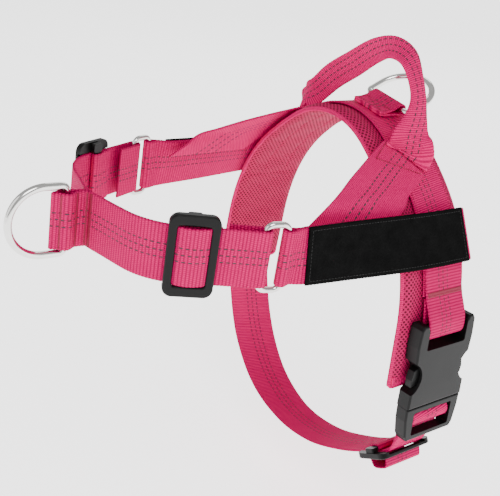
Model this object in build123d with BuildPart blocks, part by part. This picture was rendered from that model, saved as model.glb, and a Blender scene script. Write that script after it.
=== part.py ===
# No-pull dog harness in webbing, with chest loop, padded girth, side buckle, top handle and two leash rings.
# +X is towards the dog's head, +Y its left side, +Z up. The origin is on the underside of the saddle pad,
# at the top centre of the back.
import os
from math import cos, radians, sin

from build123d import *

# ---- webbing and fits ----
WEB_W = 38.0
WEB_T = 1.6
FIT = 0.12
LOOSE = 0.3

# ---- arch over the back: radii of the pad's inner face and the turn of each arc ----
LEAN = 3.3
TOP_R = 63.0
TOP_TURN = 35.0
FLANK_R = 227.0
FLANK_TURN = 11.0
RIB_R = 117.0
RIB_TURN = 24.0
SIDE_R = 157.0
SIDE_TURN = 16.0
SIDE_DROP = 47.0

# ---- girth pad ----
PAD_W = 63.0
LINING_T = 1.2
FOAM_T = 3.4
COVER_T = 1.3
PLY_GAP = 0.05
BINDING_T = 0.6
BINDING_LIP = 5.0
PAD_T = LINING_T + FOAM_T + COVER_T + 2 * PLY_GAP
BELT_SHIFT = -5.0
BELT_IN = PAD_T + BINDING_T + 0.1
BELT_FAR_DROP = 10.0
BELT_NEAR_TURN = 8.0

# ---- chest loop: pitch and place of the ring line, then the run to the breast ----
CHEST_X = 141.0
CHEST_Z = -52.0
CHEST_PITCH = 4.5
RING_Y = 87.0
CHEST_HEADING = -26.0
CHEST_STRAIGHT = 49.0
CHEST_BEND_R = 44.0
CHEST_BEND_TURN = 52.0
SEAM_U = 84.5
PLEAT_BACK = 82.6
PLEAT_FRONT = 107.0
FRONT_BAR_U = 98.5
RETURN_LEN = 22.0

# ---- link rings ----
RING_WIRE = 2.0
RING_H = 48.0
RING_L = 19.0
RING_CORNER = 5.0
RING_TURN = -15.0
RING_SLACK = 1.1

# ---- leash rings ----
D_WIRE = 2.5
D_H = 50.0
D_DEPTH = 41.0
TOP_D_TILT = 62.0

# ---- strap sliders ----
SLIDER_L = 31.0
SLIDER_H = 53.5
SLIDER_RAIL = 7.0
SLIDER_END = 5.2
SLIDER_OUT = 3.6
SLIDER_IN = -0.9
BAR_L = 5.0
BAR_TOP = -2.6
BAR_BOTTOM = -4.6
SLIDER_AT = 44.0
TONGUE = 18.0
GIRTH_TONGUE = 8.0

# ---- buckle, measured from the socket's webbing bar: across, along, thick ----
BUCKLE_OFF = 13.3
BUCKLE_W = 57.0
SOCKET_T = 12.0
SOCKET_TOP = 6.5
SOCKET_END = -60.0
PLUG_END = -88.0
BAR_T = 4.0
SLOT_W = 40.0

GIRTH_UP = Vector(-sin(radians(LEAN)), 0, cos(radians(LEAN)))
GIRTH_FWD = Vector(cos(radians(LEAN)), 0, sin(radians(LEAN)))
GIRTH = Plane(origin=(0, 0, 0), x_dir=(0, 1, 0), z_dir=GIRTH_FWD)
BELT = GIRTH.offset(BELT_SHIFT)


ARCS = ((TOP_R, TOP_TURN), (FLANK_R, FLANK_TURN), (RIB_R, RIB_TURN), (SIDE_R, SIDE_TURN))
SIDE_ANGLE = TOP_TURN + FLANK_TURN + RIB_TURN + SIDE_TURN


def arch_spot(offset, angle):
    """Point on the left flank where the arch has turned by angle, offset out from the pad."""
    across = 0.0
    height = 0.0
    turned = 0.0
    for radius, turn in ARCS:
        step = max(0.0, min(turn, angle - turned))
        first = radians(turned)
        last = radians(turned + step)
        across += radius * (sin(last) - sin(first))
        height -= radius * (cos(first) - cos(last))
        turned += step
    across += offset * sin(radians(angle))
    height += offset * cos(radians(angle))
    return across, height


def arch_half(start, heading, offset, side_turn, drop):
    """Arcs from the top of the back down one flank, offset out from the pad's inner face."""
    way = -1 if heading > 0 else 1
    top = JernArc(start, (heading, 0), TOP_R + offset, way * TOP_TURN)
    flank = JernArc(top @ 1, top % 1, FLANK_R + offset, way * FLANK_TURN)
    rib = JernArc(flank @ 1, flank % 1, RIB_R + offset, way * RIB_TURN)
    side = JernArc(rib @ 1, rib % 1, SIDE_R + offset, way * side_turn)
    if drop > 0:
        fall = Line(side @ 1, side @ 1 + (side % 1) * drop)
        return fall @ 1
    return side @ 1


def arch_band(plane, inner, outer, width, far_turn, far_drop, near_turn, near_drop):
    """A band over the back between two offsets, running down both sides."""
    with BuildPart() as band:
        with BuildSketch(plane):
            with BuildLine():
                near_in = arch_half((0, inner), 1, inner, near_turn, near_drop)
                near_out = arch_half((0, outer), 1, outer, near_turn, near_drop)
                Line(near_in, near_out)
                far_in = arch_half((0, inner), -1, inner, far_turn, far_drop)
                far_out = arch_half((0, outer), -1, outer, far_turn, far_drop)
                Line(far_in, far_out)
            make_face()
        extrude(amount=width / 2, both=True)
    return band.part


def pad_ply(inner, thick, width, trim):
    drop = SIDE_DROP - trim
    return arch_band(GIRTH, inner, inner + thick, width, SIDE_TURN, drop, SIDE_TURN, drop)


# ---- saddle pad plies ----
with BuildPart() as pad_lining:
    add(pad_ply(0, LINING_T, PAD_W - 2 * BINDING_T - 0.2, BINDING_T + 0.1))

with BuildPart() as pad_foam:
    add(pad_ply(LINING_T + PLY_GAP, FOAM_T, PAD_W - 4, 3))

with BuildPart() as pad_cover:
    add(pad_ply(PAD_T - COVER_T, COVER_T, PAD_W - 2 * BINDING_T - 0.2, BINDING_T + 0.1))

with BuildPart() as pad_binding:
    add(pad_ply(-BINDING_T - PLY_GAP, PAD_T + 2 * BINDING_T + 2 * PLY_GAP, PAD_W, 0))
    add(pad_ply(-PLY_GAP, PAD_T + 2 * PLY_GAP, PAD_W - 2 * BINDING_T, BINDING_T), mode=Mode.SUBTRACT)
    add(pad_ply(-2, PAD_T + 4, PAD_W - 2 * BINDING_LIP, BINDING_LIP), mode=Mode.SUBTRACT)

# ---- girth webbing over the pad ----
with BuildPart() as girth_webbing:
    add(arch_band(BELT, BELT_IN, BELT_IN + WEB_T, WEB_W, SIDE_TURN, BELT_FAR_DROP, BELT_NEAR_TURN, 0))


# ---- buckle side: n runs outward, b runs up, both from the socket's webbing bar ----
SIDE_Y, SIDE_Z = arch_spot(BUCKLE_OFF, SIDE_ANGLE)
SIDE_OUT = GIRTH.x_dir * sin(radians(SIDE_ANGLE)) + GIRTH.y_dir * cos(radians(SIDE_ANGLE))
SIDE = Plane(origin=BELT.from_local_coords((SIDE_Y, SIDE_Z, 0)), x_dir=SIDE_OUT, z_dir=GIRTH_FWD)
FACE = Plane(origin=SIDE.origin, x_dir=-GIRTH_FWD, z_dir=SIDE_OUT)
SOCKET_WRAP = BAR_T / 2 + FIT + WEB_T / 2

# ---- webbing loop that holds the buckle socket ----
with BuildPart() as socket_loop:
    with BuildSketch(SIDE):
        with BuildLine():
            outer_ply = Spline((-9.4, 42.6), (-6.9, 31.8), (SOCKET_WRAP, 6), tangents=((0.2, -1), (0, -1)))
            Line((SOCKET_WRAP, 6), (SOCKET_WRAP, -3.5))
            ThreePointArc((SOCKET_WRAP, -3.5), (0, -3.5 - SOCKET_WRAP), (-SOCKET_WRAP, -3.5))
            Line((-SOCKET_WRAP, -3.5), (-SOCKET_WRAP, 4))
            Spline((-SOCKET_WRAP, 4), (-5.4, 24), tangents=((0, 1), (-0.14, 1)))
        trace(line_width=WEB_T)
    extrude(amount=WEB_W / 2, both=True)

# ---- belly strap: joined to the right end of the girth webbing, round under the chest ----
BELLY_START = (-112.3, -133.8)
BELLY_POINTS = (
    (-115.3, -169.0),
    (-107.5, -205.0),
    (-88.0, -245.0),
    (-58.0, -274.5),
    (-18.5, -287.6),
    (24.0, -283.0),
    (64.7, -264.6),
)
GIRTH_SLIDE = 33.0
GIRTH_SLIDER_AT = (101.0, -241.0)
SPLIT_Y = 88.0
SLOPE = (cos(radians(GIRTH_SLIDE)), sin(radians(GIRTH_SLIDE)))


def on_slope(run):
    return GIRTH_SLIDER_AT[0] + run * SLOPE[0], GIRTH_SLIDER_AT[1] + run * SLOPE[1]


with BuildPart() as belly_strap:
    with BuildSketch(BELT):
        with BuildLine():
            Spline(BELLY_START, *BELLY_POINTS, on_slope(-12), tangents=((-0.07, -1), SLOPE))
        trace(line_width=WEB_T)
    extrude(amount=WEB_W / 2, both=True)
    with BuildSketch(BELT):
        with Locations((SPLIT_Y + 10, GIRTH_SLIDER_AT[1])):
            Rectangle(20, 40)
    extrude(amount=WEB_W, both=True, mode=Mode.SUBTRACT)

# ---- end loop of the belly strap, round the plug's middle bar; points are out from the body and up ----
PLUG_BAR_B = -71.2
LOOP_RISE_AT = 8.0
LOOP_RISE_R = 19.0
LOOP_RISE_TURN = 59.0
LOOP_SPOTS = (
    (-6.3, -90.0),
    (-5.0, -83.8),
    (-0.9, -79.2),
    (3.1, -75.2),
    (4.0, -71.4),
    (2.7, -68.0),
    (-0.4, -66.8),
    (-3.4, -67.9),
    (-5.8, -71.5),
    (-7.7, -79.0),
    (-8.3, -88.0),
)
UP_Y = -cos(radians(SIDE_ANGLE))
UP_Z = sin(radians(SIDE_ANGLE))


def side_spot(out, up):
    """Point of the girth plane given from the socket bar: out from the body and up."""
    return SIDE_Y + out * UP_Z + up * UP_Y, SIDE_Z - out * UP_Y + up * UP_Z


with BuildPart() as belly_loop:
    with BuildSketch(BELT):
        with BuildLine():
            Line(on_slope(-18), on_slope(LOOP_RISE_AT))
            rise = JernArc(on_slope(LOOP_RISE_AT), SLOPE, LOOP_RISE_R, LOOP_RISE_TURN)
            Spline(rise @ 1, *[side_spot(out, up) for out, up in LOOP_SPOTS])
        trace(line_width=WEB_T)
    extrude(amount=WEB_W / 2, both=True)
    with BuildSketch(BELT):
        with Locations((SPLIT_Y + LOOSE - 10, GIRTH_SLIDER_AT[1])):
            Rectangle(20, 40)
    extrude(amount=WEB_W, both=True, mode=Mode.SUBTRACT)


# ---- strap sliders: x runs along the strap, y across it, z out from the body ----
def slider_frame(spot):
    """Frame over the strap with its middle bar set back behind it."""
    window_h = SLIDER_H - 2 * SLIDER_RAIL
    with BuildPart() as frame:
        with BuildSketch(spot.offset(SLIDER_IN)):
            RectangleRounded(SLIDER_L, SLIDER_H, 6)
            RectangleRounded(SLIDER_L - 2 * SLIDER_END, window_h, 2, mode=Mode.SUBTRACT)
        extrude(amount=SLIDER_OUT - SLIDER_IN)
        fillet(frame.faces().sort_by(Axis(spot.origin, spot.z_dir))[-1].edges(), 1.1)
        with BuildSketch(spot.offset(SLIDER_IN - 1)):
            Rectangle(SLIDER_L + 2, window_h)
        extrude(amount=1 - SLIDER_IN + WEB_T / 2 + LOOSE, mode=Mode.SUBTRACT)
        with BuildSketch(spot.offset(BAR_BOTTOM)):
            RectangleRounded(BAR_L, window_h + 6, 1)
        extrude(amount=BAR_TOP - BAR_BOTTOM)
        with BuildSketch(spot.offset(BAR_BOTTOM)):
            with Locations((0, window_h / 2 + 3.2), (0, -window_h / 2 - 3.2)):
                RectangleRounded(9, 6.2, 1.5)
        extrude(amount=SLIDER_OUT - 1.5 - BAR_BOTTOM)
    return frame.part


def slider_tail(lay, tongue):
    """Webbing end sewn round a slider's middle bar; x along the strap, y out from the body."""
    middle = (BAR_TOP + BAR_BOTTOM) / 2
    bar_t = BAR_TOP - BAR_BOTTOM
    wrap = 1.4
    with BuildPart() as tail:
        with BuildSketch(lay):
            with Locations((0, middle)):
                SlotOverall(BAR_L + 2 * (FIT + wrap), bar_t + 2 * (FIT + wrap))
            with Locations((tongue / 2, BAR_TOP + FIT + wrap - 1.6)):
                Rectangle(abs(tongue), 3.2)
            with Locations((0, middle)):
                Rectangle(BAR_L + 2 * FIT, bar_t + 2 * FIT, mode=Mode.SUBTRACT)
        extrude(amount=WEB_W / 2, both=True)
    return tail.part


GIRTH_SLIDER_LAY = Plane(
    origin=BELT.from_local_coords((*GIRTH_SLIDER_AT, 0)),
    x_dir=GIRTH.x_dir * -SLOPE[0] - GIRTH.y_dir * SLOPE[1],
    z_dir=GIRTH_FWD,
)
GIRTH_SLIDER_SPOT = Plane(
    origin=GIRTH_SLIDER_LAY.origin,
    x_dir=GIRTH_SLIDER_LAY.x_dir,
    z_dir=GIRTH_SLIDER_LAY.y_dir,
)

with BuildPart() as girth_slider:
    add(slider_frame(GIRTH_SLIDER_SPOT))

with BuildPart() as girth_slider_tail:
    add(slider_tail(GIRTH_SLIDER_LAY, -GIRTH_TONGUE))


# ---- side-release buckle: socket ----
def face_outline(points):
    """Closed outline on the buckle face from the points of its right half, top to bottom."""
    left = [(-across, along) for across, along in reversed(points)]
    return Polyline(*points, *left, close=True)


SOCKET_HALF = (
    (20.3, 3.5),
    (21.6, SOCKET_TOP),
    (26.0, SOCKET_TOP),
    (28.0, 3.5),
    (29.0, -10.0),
    (28.2, -21.0),
    (28.2, -49.0),
    (BUCKLE_W / 2, SOCKET_END),
)
CAVITY_W = 44.0
CAVITY_T = 7.0
CAVITY_TOP = -18.5
NOTCH_R = 14.0
NOTCH_AT = (34.0, -35.0)

with BuildPart() as buckle_socket:
    with BuildSketch(FACE.offset(-SOCKET_T / 2)):
        with BuildLine():
            face_outline(SOCKET_HALF)
        make_face()
    extrude(amount=SOCKET_T)
    socket_faces = buckle_socket.faces().sort_by(Axis(FACE.origin, FACE.z_dir))
    fillet(socket_faces[-1].edges() + socket_faces[0].edges(), 1.5)
    with BuildSketch(FACE):
        with Locations((0, -8.4)):
            RectangleRounded(SLOT_W, 9.8, 1.5)
        with Locations(NOTCH_AT, (-NOTCH_AT[0], NOTCH_AT[1])):
            Circle(NOTCH_R)
    extrude(amount=SOCKET_T, both=True, mode=Mode.SUBTRACT)
    with BuildSketch(FACE.offset(BAR_T / 2)):
        with Locations((0, 2.5)):
            Rectangle(SLOT_W, 14)
    extrude(amount=SOCKET_T, mode=Mode.SUBTRACT)
    with BuildSketch(FACE.offset(-BAR_T / 2)):
        with Locations((0, 2.5)):
            Rectangle(SLOT_W, 14)
    extrude(amount=-SOCKET_T, mode=Mode.SUBTRACT)
    with BuildSketch(FACE):
        with Locations((0, (CAVITY_TOP + SOCKET_END) / 2 - 1)):
            Rectangle(CAVITY_W, CAVITY_TOP - SOCKET_END + 2)
    extrude(amount=CAVITY_T / 2, both=True, mode=Mode.SUBTRACT)

# ---- side-release buckle: plug body with its middle guide ----
PLUG_T = 11.0
PLUG_TOP = SOCKET_END - LOOSE
PLUG_HALF = (
    (BUCKLE_W / 2, PLUG_TOP),
    (28.2, -70.0),
    (26.0, -84.0),
    (23.5, PLUG_END),
)
PLUG_SLOT = (-64.8, -83.8)
PLUG_BAR_L = 4.2
PLUG_BAR_T = 3.2
PLUG_RIM_IN = -2.5
GUIDE_W = 11.0
GUIDE_TOP = -24.0
NECK_TOP = -56.6

with BuildPart() as buckle_plug:
    with BuildSketch(FACE.offset(-PLUG_T / 2)):
        with BuildLine():
            face_outline(PLUG_HALF)
        make_face()
    extrude(amount=PLUG_T)
    plug_faces = buckle_plug.faces().sort_by(Axis(FACE.origin, FACE.z_dir))
    fillet(plug_faces[-1].edges() + plug_faces[0].edges(), 1.5)
    with BuildSketch(FACE):
        with Locations((0, (PLUG_SLOT[0] + PLUG_SLOT[1]) / 2)):
            RectangleRounded(SLOT_W, PLUG_SLOT[0] - PLUG_SLOT[1], 1.5)
    extrude(amount=PLUG_T, both=True, mode=Mode.SUBTRACT)
    with BuildSketch(FACE.offset(PLUG_RIM_IN)):
        with Locations((0, PLUG_SLOT[1] - 6)):
            Rectangle(SLOT_W, 16)
    extrude(amount=-PLUG_T, mode=Mode.SUBTRACT)
    with BuildSketch(FACE):
        with Locations((0, PLUG_BAR_B)):
            Rectangle(SLOT_W + 2, PLUG_BAR_L)
    extrude(amount=PLUG_BAR_T / 2, both=True)
    with BuildSketch(FACE):
        with Locations((0, (NECK_TOP + PLUG_TOP) / 2 - 1)):
            Rectangle(CAVITY_W - 1.2, NECK_TOP - PLUG_TOP + 2)
        with Locations((0, (GUIDE_TOP + PLUG_TOP) / 2)):
            RectangleRounded(GUIDE_W, GUIDE_TOP - PLUG_TOP, 2)
    extrude(amount=CAVITY_T / 2 - 0.5, both=True)

# ---- side-release buckle: sprung arms ----
ARM_PIVOT = (17.0, -53.2)
ARM_HALF = (
    (19.4, -53.2),
    (20.4, -46.0),
    (20.9, -41.0),
    (23.9, -42.4),
    (26.4, -43.0),
    (27.3, -37.0),
    (25.6, -30.0),
    (21.3, -27.8),
    (19.4, -28.8),
    (16.2, -40.0),
    (14.6, -53.2),
)


def plug_arm(hand):
    with BuildPart() as arm:
        with BuildSketch(FACE):
            with BuildLine():
                Polyline(*[(hand * across, along) for across, along in ARM_HALF], close=True)
            make_face()
            with Locations((hand * ARM_PIVOT[0], ARM_PIVOT[1])):
                Circle(2.4)
        extrude(amount=CAVITY_T / 2 - 0.6, both=True)
        arm_faces = arm.faces().sort_by(Axis(FACE.origin, FACE.z_dir))
        fillet(arm_faces[-1].edges() + arm_faces[0].edges(), 0.4)
    return arm.part


with BuildPart() as plug_arm_rear:
    add(plug_arm(1))

with BuildPart() as plug_arm_front:
    add(plug_arm(-1))


# ---- chest loop: u runs forward, v outward to one side, both from the ring line ----
def chest_plane(side):
    pitch = radians(CHEST_PITCH)
    normal = Vector(-sin(pitch), 0, cos(pitch)) * side
    return Plane(origin=(CHEST_X, 0, CHEST_Z), x_dir=(cos(pitch), 0, sin(pitch)), z_dir=normal)


def ring_bar(run):
    """Centre of a link ring's bar, run along the ring from its middle."""
    turn = radians(RING_TURN)
    return run * cos(turn), RING_Y + run * sin(turn)


BAR_RUN = RING_L / 2 - RING_WIRE
HEADING = radians(CHEST_HEADING)
CHEST_WRAP = RING_WIRE + RING_SLACK + WEB_T / 2


def chest_spot(run, out):
    """Point beside the straight part of a chest strap, run along it and out from it."""
    bar_u, bar_v = ring_bar(BAR_RUN)
    off = CHEST_WRAP + out
    return bar_u + run * cos(HEADING) - off * sin(HEADING), bar_v + run * sin(HEADING) + off * cos(HEADING)


def chest_strap(side):
    with BuildPart() as strap:
        with BuildSketch(chest_plane(side)):
            with BuildLine():
                Line(chest_spot(RETURN_LEN, -2 * CHEST_WRAP), chest_spot(0, -2 * CHEST_WRAP))
                ThreePointArc(
                    chest_spot(0, -2 * CHEST_WRAP), chest_spot(-CHEST_WRAP, -CHEST_WRAP), chest_spot(0, 0)
                )
                run = Line(chest_spot(0, 0), chest_spot(CHEST_STRAIGHT, 0))
                bend = JernArc(run @ 1, run % 1, CHEST_BEND_R, -CHEST_BEND_TURN)
                Line(bend @ 1, (SEAM_U, WEB_T + 0.3))
            trace(line_width=WEB_T)
        extrude(amount=WEB_W / 2, both=True)
    return strap.part


def link_ring(side):
    chest = chest_plane(side)
    turn = radians(RING_TURN)
    along = chest.x_dir * cos(turn) + chest.y_dir * sin(turn)
    lay = Plane(origin=chest.from_local_coords((0, RING_Y, 0)), x_dir=along, z_dir=along.cross(chest.z_dir))
    half_l = RING_L / 2 - RING_WIRE
    half_h = RING_H / 2 - RING_WIRE
    with BuildPart() as ring:
        with BuildLine(lay) as path:
            FilletPolyline(
                (-half_l, 0), (-half_l, -half_h), (half_l, -half_h), (half_l, half_h), (-half_l, half_h),
                (-half_l, 0.01), radius=RING_CORNER,
            )
            Line((-half_l, 0.01), (-half_l, 0))
        wire = path.wire()
        with BuildSketch(Plane(origin=wire @ 0, z_dir=wire % 0)):
            Circle(RING_WIRE)
        sweep(path=wire)
    return ring.part


def chest_slider_lay(side):
    chest = chest_plane(side)
    along = chest.x_dir * cos(HEADING) + chest.y_dir * sin(HEADING)
    u, v = chest_spot(SLIDER_AT, 0)
    return Plane(origin=chest.from_local_coords((u, v, 0)), x_dir=along, z_dir=chest.z_dir)


def chest_slider(side):
    lay = chest_slider_lay(side)
    return slider_frame(Plane(origin=lay.origin, x_dir=lay.x_dir, z_dir=lay.y_dir))


with BuildPart() as chest_strap_left:
    add(chest_strap(1))

with BuildPart() as chest_strap_right:
    add(chest_strap(-1))

with BuildPart() as link_ring_left:
    add(link_ring(1))

with BuildPart() as link_ring_right:
    add(link_ring(-1))

with BuildPart() as chest_slider_left:
    add(chest_slider(1))

with BuildPart() as chest_slider_right:
    add(chest_slider(-1))

with BuildPart() as chest_tail_left:
    add(slider_tail(chest_slider_lay(1), -TONGUE))

with BuildPart() as chest_tail_right:
    add(slider_tail(chest_slider_lay(-1), -TONGUE))

# ---- breast pleat: chest webbing folded round the front ring's bar ----
with BuildPart() as front_pleat:
    with BuildSketch(chest_plane(1)):
        with Locations(((PLEAT_BACK + PLEAT_FRONT) / 2, 0)):
            SlotOverall(PLEAT_FRONT - PLEAT_BACK, 2 * WEB_T + 0.1)
        with BuildLine():
            Polyline(
                (FRONT_BAR_U - 9, 0), (FRONT_BAR_U - 1, 4), (FRONT_BAR_U + 1, 4),
                (PLEAT_FRONT - 1, 0), (FRONT_BAR_U + 1, -4), (FRONT_BAR_U - 1, -4), close=True,
            )
        make_face()
        with Locations((FRONT_BAR_U, 0)):
            Circle(D_WIRE + FIT + WEB_T)
            Circle(D_WIRE + FIT, mode=Mode.SUBTRACT)
    extrude(amount=WEB_W / 2, both=True)


# ---- leash rings: x from the bar out to the bow, y along the bar ----
def leash_ring(lay):
    half = D_H / 2 - D_WIRE
    depth = D_DEPTH - 2 * D_WIRE
    with BuildPart() as ring:
        with BuildLine(lay) as path:
            FilletPolyline((depth - half, half), (0, half), (0, -half), (depth - half, -half), radius=3.6)
            ThreePointArc((depth - half, -half), (depth, 0), (depth - half, half))
        wire = path.wire()
        with BuildSketch(Plane(origin=wire @ 0, z_dir=wire % 0)):
            Circle(D_WIRE)
        sweep(path=wire)
    return ring.part


CHEST = chest_plane(1)
FRONT_RING_LAY = Plane(
    origin=CHEST.from_local_coords((FRONT_BAR_U, 0, 0)), x_dir=CHEST.x_dir, z_dir=-CHEST.y_dir
)

with BuildPart() as front_ring:
    add(leash_ring(FRONT_RING_LAY))

# ---- top leash ring and its tab, a little left of the middle ----
TAB_ANGLE = 8.0
TAB_W = 32.0
TAB_FRONT = 5.0
TAB_BAR = (-15.0, 4.3)
TAB_IN = BELT_IN + WEB_T + 0.1
TAB_Y, TAB_Z = arch_spot(TAB_IN, TAB_ANGLE)
TAB_OUT = GIRTH.x_dir * sin(radians(TAB_ANGLE)) + GIRTH.y_dir * cos(radians(TAB_ANGLE))
TAB_LAY = Plane(
    origin=GIRTH.from_local_coords((TAB_Y, TAB_Z, 0)), x_dir=GIRTH_FWD, z_dir=GIRTH_FWD.cross(TAB_OUT)
)

with BuildPart() as top_tab:
    with BuildSketch(TAB_LAY):
        with BuildLine():
            Polyline(
                (TAB_FRONT, 0), (TAB_FRONT, 3.2), (TAB_BAR[0] + 6, 4.5), (TAB_BAR[0], 8.3), (TAB_BAR[0], 0.3),
                (TAB_BAR[0] + 6, 0), close=True,
            )
        make_face()
        with Locations(TAB_BAR):
            Circle(D_WIRE + FIT + WEB_T)
            Circle(D_WIRE + FIT, mode=Mode.SUBTRACT)
    extrude(amount=TAB_W / 2, both=True)

TILT = radians(TOP_D_TILT)
TOP_RING_OUT = TAB_LAY.y_dir * cos(TILT) - TAB_LAY.x_dir * sin(TILT)
TOP_RING_LAY = Plane(
    origin=TAB_LAY.from_local_coords((*TAB_BAR, 0)), x_dir=TOP_RING_OUT, z_dir=TOP_RING_OUT.cross(TAB_LAY.z_dir)
)

with BuildPart() as top_ring:
    add(leash_ring(TOP_RING_LAY))


# ---- ribbons that twist: each station is a centre, the way along, the way across, width, thickness ----
def mirrored(vector, side):
    x, y, z = vector
    return Vector(x, y * side, z)


def ribbon(stations, side):
    """Webbing through stations, drawn for the left and mirrored when side is -1."""
    with BuildPart() as band:
        for centre, along, across, width, thick in stations:
            tangent = mirrored(along, side).normalized()
            cross = mirrored(across, side)
            cross = (cross - tangent * cross.dot(tangent)).normalized()
            with BuildSketch(Plane(origin=mirrored(centre, side), x_dir=cross, z_dir=tangent)):
                Rectangle(width, thick)
        loft()
    return band.part


# ---- side panels: doubled webbing from the link ring back to the girth ----
PANEL_T = 2 * WEB_T
PANEL_RUN = (
    (118.0, 89.6, -54.2, 8.0),
    (80.0, 92.6, -56.6, 15.0),
    (40.0, 96.2, -59.2, 23.0),
    (8.0, 98.4, -61.0, 27.5),
    (-25.0, 98.9, -62.6, 28.5),
)
PANEL_FOLD_U = -14.0


def leaning(lean):
    return 0, -sin(radians(lean)), cos(radians(lean))


def panel_stations(run, out, width, thick):
    """Stations along the panel, set out from its middle; the way along follows the neighbours."""
    stations = []
    for index, (x, y, z, lean) in enumerate(run):
        ahead = run[max(index - 1, 0)]
        behind = run[min(index + 1, len(run) - 1)]
        along = tuple(behind[axis] - ahead[axis] for axis in range(3))
        normal = (0, cos(radians(lean)), sin(radians(lean)))
        centre = (x, y + out * normal[1], z + out * normal[2])
        stations.append((centre, along, leaning(lean), width, thick))
    return stations


def side_panel(side):
    chest = chest_plane(side)
    bar_u, bar_v = ring_bar(-BAR_RUN)
    left_chest = chest_plane(1)
    fold_centre = left_chest.from_local_coords((PANEL_FOLD_U, bar_v + 0.1, 0))
    fold = (tuple(fold_centre), tuple(left_chest.x_dir * -1), tuple(left_chest.z_dir), WEB_W, PANEL_T)
    with BuildPart() as panel:
        with BuildSketch(chest):
            with BuildLine():
                Polyline(
                    (bar_u, bar_v + 4.2), (PANEL_FOLD_U - 0.5, bar_v + 0.1 + WEB_T),
                    (PANEL_FOLD_U - 0.5, bar_v + 0.1 - WEB_T), (bar_u, bar_v - 4.2), close=True,
                )
            make_face()
            with Locations((bar_u, bar_v)):
                Circle(RING_WIRE + RING_SLACK + WEB_T)
                Circle(RING_WIRE + RING_SLACK, mode=Mode.SUBTRACT)
        extrude(amount=WEB_W / 2, both=True)
        add(ribbon([fold] + panel_stations(PANEL_RUN, 0, WEB_W, PANEL_T), side))
    return panel.part


with BuildPart() as side_panel_left:
    add(side_panel(1))

with BuildPart() as side_panel_right:
    add(side_panel(-1))

# ---- loop patches for name labels, on the outside of the panels ----
LABEL_T = 1.5
LABEL_H = 38.5
LABEL_RUN = (
    (118.0, 89.6, -54.2, 8.0),
    (80.0, 92.6, -56.6, 15.0),
    (40.0, 96.2, -59.2, 23.0),
    (8.0, 98.4, -61.0, 27.5),
    (-22.0, 98.86, -62.46, 28.4),
)
LABEL_OUT = PANEL_T / 2 + LABEL_T / 2 + 0.9

with BuildPart() as label_patch_left:
    add(ribbon(panel_stations(LABEL_RUN, LABEL_OUT, LABEL_H, LABEL_T), 1))

with BuildPart() as label_patch_right:
    add(ribbon(panel_stations(LABEL_RUN, LABEL_OUT, LABEL_H, LABEL_T), -1))

# ---- diagonal straps: from inside the panel up over the pad; each station lies level, fore and aft ----
STACK_IN = BELT_IN + WEB_T + 0.4
DIAGONAL_W = 76.0
DIAGONAL_OVER = (
    (55.0, 47.5),
    (42.0, 45.0),
    (25.0, 42.3),
    (15.0, 40.85),
    (5.0, 39.4),
    (-5.0, 38.0),
    (-15.0, 36.6),
    (-35.0, 33.0),
)
CREASE_X = 5.0
CREASE_ANGLE = 39.6
CREASE_ALONG = 0.87
CREASE_UP = 0.49


def back_spot(x, angle, out):
    """Point over the left of the back, x forward in the girth frame."""
    across, height = arch_spot(out, angle)
    return GIRTH.from_local_coords((across, height, x))


def back_out(angle):
    return GIRTH.x_dir * sin(radians(angle)) + GIRTH.y_dir * cos(radians(angle))


def back_up(angle):
    return GIRTH.y_dir * sin(radians(angle)) - GIRTH.x_dir * cos(radians(angle))


def tucked_station(x, up, lean_at, turn):
    """Level section of the diagonal strap just inside the panel, near its top edge."""
    share = (80.0 - x) / 40.0
    y = 92.6 + 3.6 * share
    z = -56.6 - 2.6 * share
    lean = radians(lean_at)
    inward = PANEL_T / 2 + WEB_T / 2 + 3.7
    centre = Vector(x, y - up * sin(lean) - inward * cos(lean), z + up * cos(lean) - inward * sin(lean))
    normal = Vector(0.07, cos(radians(turn)), sin(radians(turn)))
    return centre, Vector(-0.997, 0.08, -0.06), normal


def diagonal_strap(side):
    stations = [tucked_station(79.0, 12.5, 15.0, 15.0), tucked_station(68.0, 20.0, 16.5, 33.0)]
    for x, angle in DIAGONAL_OVER:
        stations.append((back_spot(x, angle, STACK_IN + WEB_T / 2), -GIRTH_FWD, back_out(angle)))
    crease_along = GIRTH_FWD * -CREASE_ALONG + back_up(CREASE_ANGLE) * CREASE_UP
    crease = back_spot(CREASE_X, CREASE_ANGLE, STACK_IN)
    with BuildPart() as strap:
        for centre, level, normal in stations:
            flat = mirrored(level, side).normalized()
            facing = flat.cross(mirrored(normal, side))
            with BuildSketch(Plane(origin=mirrored(centre, side), x_dir=flat, z_dir=facing)):
                Rectangle(DIAGONAL_W, WEB_T)
        loft()
        with BuildSketch(Plane(origin=mirrored(crease + crease_along * 3, side), z_dir=mirrored(crease_along, side))):
            Rectangle(160, 60)
        extrude(amount=80, mode=Mode.SUBTRACT)
    return strap.part


with BuildPart() as diagonal_strap_left:
    add(diagonal_strap(1))

with BuildPart() as diagonal_strap_right:
    add(diagonal_strap(-1))

# ---- handle: flat sewn feet and the loop between them ----
FOOT_LEN = 24.0
FOOT_W = 36.0
FOOT_OUT = STACK_IN + 1.5 * WEB_T + 0.8


def foot_station(back):
    """Section of the sewn foot, back from the crease along the diagonal strap."""
    angle = CREASE_ANGLE + back * CREASE_UP * 0.25
    along = GIRTH_FWD * -CREASE_ALONG + back_up(angle) * CREASE_UP
    centre = back_spot(CREASE_X + back * CREASE_ALONG, angle, FOOT_OUT)
    return centre, along, back_out(angle).cross(along), FOOT_W, WEB_T


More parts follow.
